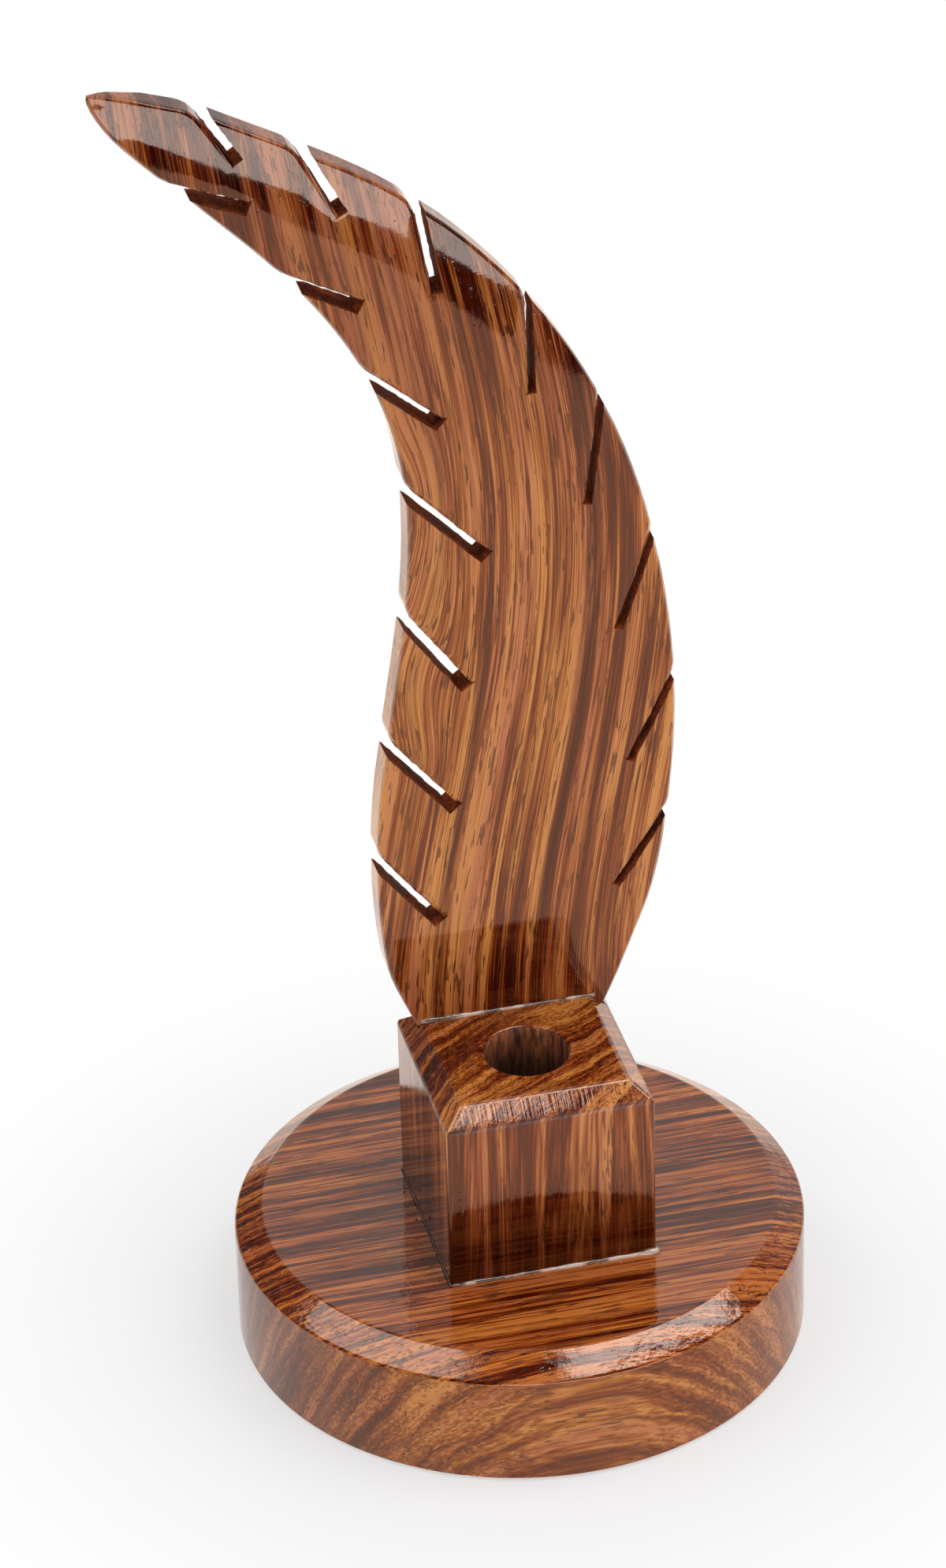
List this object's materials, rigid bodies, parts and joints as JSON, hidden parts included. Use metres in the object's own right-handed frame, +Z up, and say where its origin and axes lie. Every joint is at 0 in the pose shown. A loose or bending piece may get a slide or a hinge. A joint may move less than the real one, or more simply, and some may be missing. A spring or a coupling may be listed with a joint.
{
  "type": "pen stand",
  "caption": "Lacquered wooden pen stand: round chamfered base, square block with an upright pen bore, and a curved feather-shaped blade with sawn barbs let into the block's back.",
  "frame": {"origin": "centre of the underside, on the surface the stand rests on", "axes": "+Z up, +X to the right along the block's front, +Y towards the back where the feather stands"},
  "size_m": [0.1094, 0.096, 0.2332],
  "materials": {
    "rosewood": "clear gloss lacquer over streaked red-brown rosewood",
    "felt": "dark napped felt",
    "screw_steel": "plated steel",
    "dowel": "plain turned dowel, end lacquered with the blade",
    "dried_glue": "clear amber, glossy"
  },
  "bodies": {
    "root": {"base_disc": "rosewood", "base_felt": "felt", "block_screws": "screw_steel", "pen_block": "rosewood", "feather_blade": "rosewood", "foot_pins": "dowel", "block_glue_bead": "dried_glue", "foot_glue_bead": "dried_glue"}
  },
  "joints": []
}
